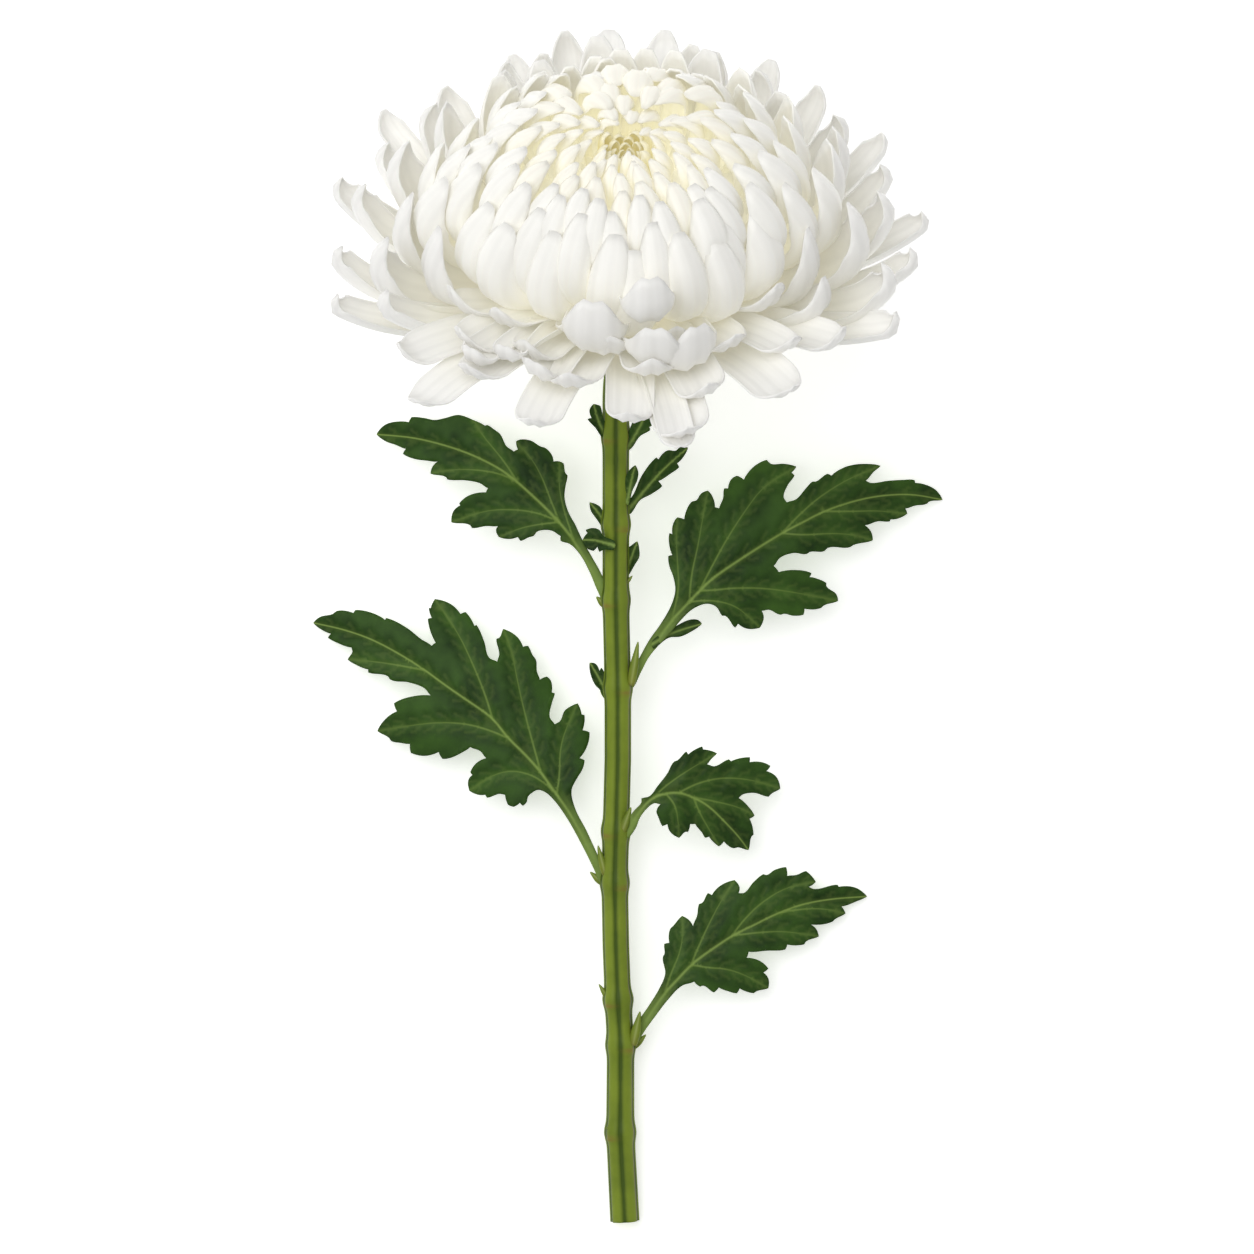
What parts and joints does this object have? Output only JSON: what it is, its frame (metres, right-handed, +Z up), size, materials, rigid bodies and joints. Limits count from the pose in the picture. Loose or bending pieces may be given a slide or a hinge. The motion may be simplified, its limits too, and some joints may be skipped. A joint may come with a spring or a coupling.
{
  "type": "disbud chrysanthemum",
  "caption": "Single cut chrysanthemum with a large domed white bloom of incurved florets, a ribbed green stem and lobed, toothed leaves, lying on its back on a surface.",
  "frame": {"origin": "middle of the whole flower's footprint, at the surface it lies on", "axes": "+Y along the stem from the cut end to the bloom, +Z up from the surface, +X to the right of the flower as seen from above"},
  "size_m": [0.1588, 0.3011, 0.1072],
  "materials": {
    "petal_white": "soft satin white petal skin, cream in the depths",
    "heart_cream": "soft pale greenish-yellow young petals",
    "stem_green": "ribbed light green stalk with fine down",
    "calyx_green": "green bracts with thin pale edges",
    "leaf_green": "dark green quilted leaf with paler veins, slightly waxy"
  },
  "bodies": {
    "root": {"ray_florets": "petal_white", "heart_florets": "heart_cream", "stem": "stem_green", "calyx": "calyx_green", "leaf_upper_left": "leaf_green", "leaf_upper_right": "leaf_green", "leaf_mid_left": "leaf_green", "leaf_mid_right": "leaf_green", "leaf_lower_right": "leaf_green", "bract_upper_right": "leaf_green", "bract_bud_right": "leaf_green", "bract_top_right": "leaf_green", "bract_top_left": "leaf_green", "bract_upper_left": "leaf_green", "bract_lobed": "leaf_green", "bract_right": "leaf_green", "bract_mid_left": "leaf_green"}
  },
  "joints": []
}
